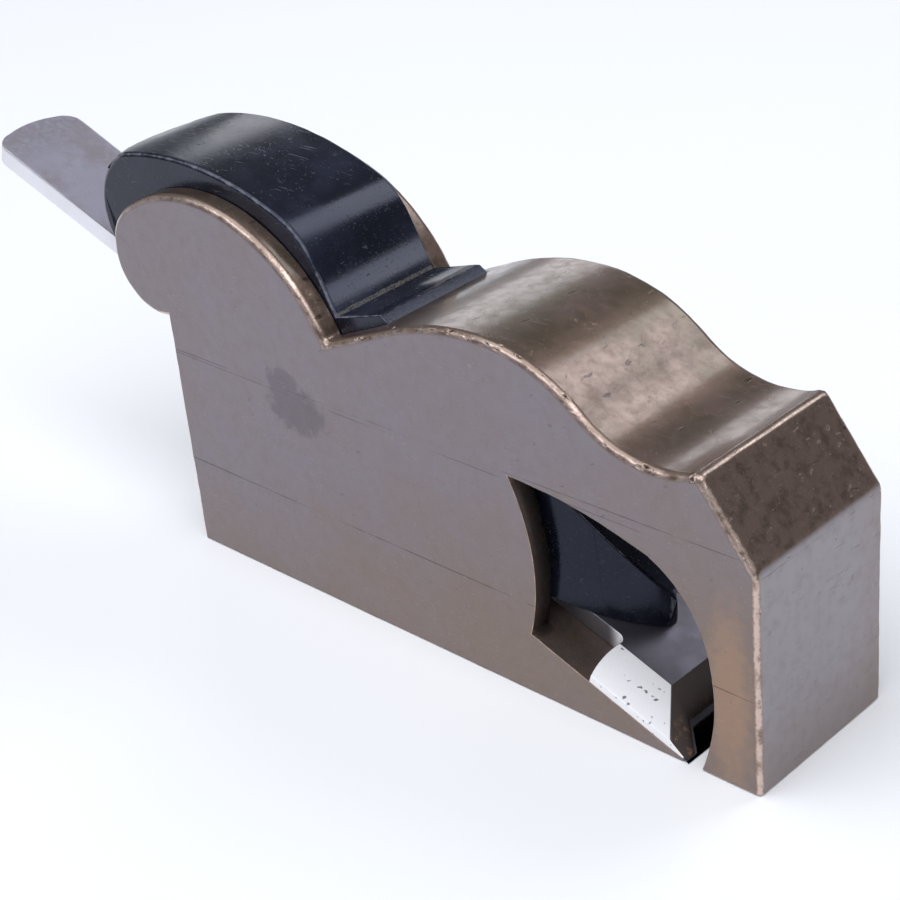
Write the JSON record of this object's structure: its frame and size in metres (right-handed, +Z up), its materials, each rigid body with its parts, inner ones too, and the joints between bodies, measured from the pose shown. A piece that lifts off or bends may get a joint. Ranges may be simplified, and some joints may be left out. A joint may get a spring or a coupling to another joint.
{
  "type": "hand plane",
  "caption": "Small metal bullnose rabbet plane with a shouldered full-width iron and a humped hardwood wedge that slides out to free the iron.",
  "frame": {"origin": "centre of the sole: half way along it and half way across it, on the sole's face", "axes": "+X along the sole to the toe, +Y across the body to the left cheek as seen from the heel, +Z up away from the sole"},
  "size_m": [0.1477, 0.0254, 0.0595],
  "materials": {
    "gunmetal": "satin, patinated brown, worn bright on the rims",
    "tool_steel": "ground and aged, polished side bevels",
    "ebony": "polished, scuffed on the edges"
  },
  "bodies": {
    "body": {"body": "gunmetal"},
    "iron": {"iron": "tool_steel"},
    "wedge": {"wedge": "ebony"}
  },
  "joints": [
    {"name": "iron_slide", "type": "slide", "parent": "body", "child": "iron", "axis": [-0.9397, 0, 0.342], "range_m": [-0.0008, 0.008]},
    {"name": "wedge_slide", "type": "slide", "parent": "body", "child": "wedge", "axis": [-0.9397, 0, 0.342], "range_m": [0, 0.1]}
  ]
}
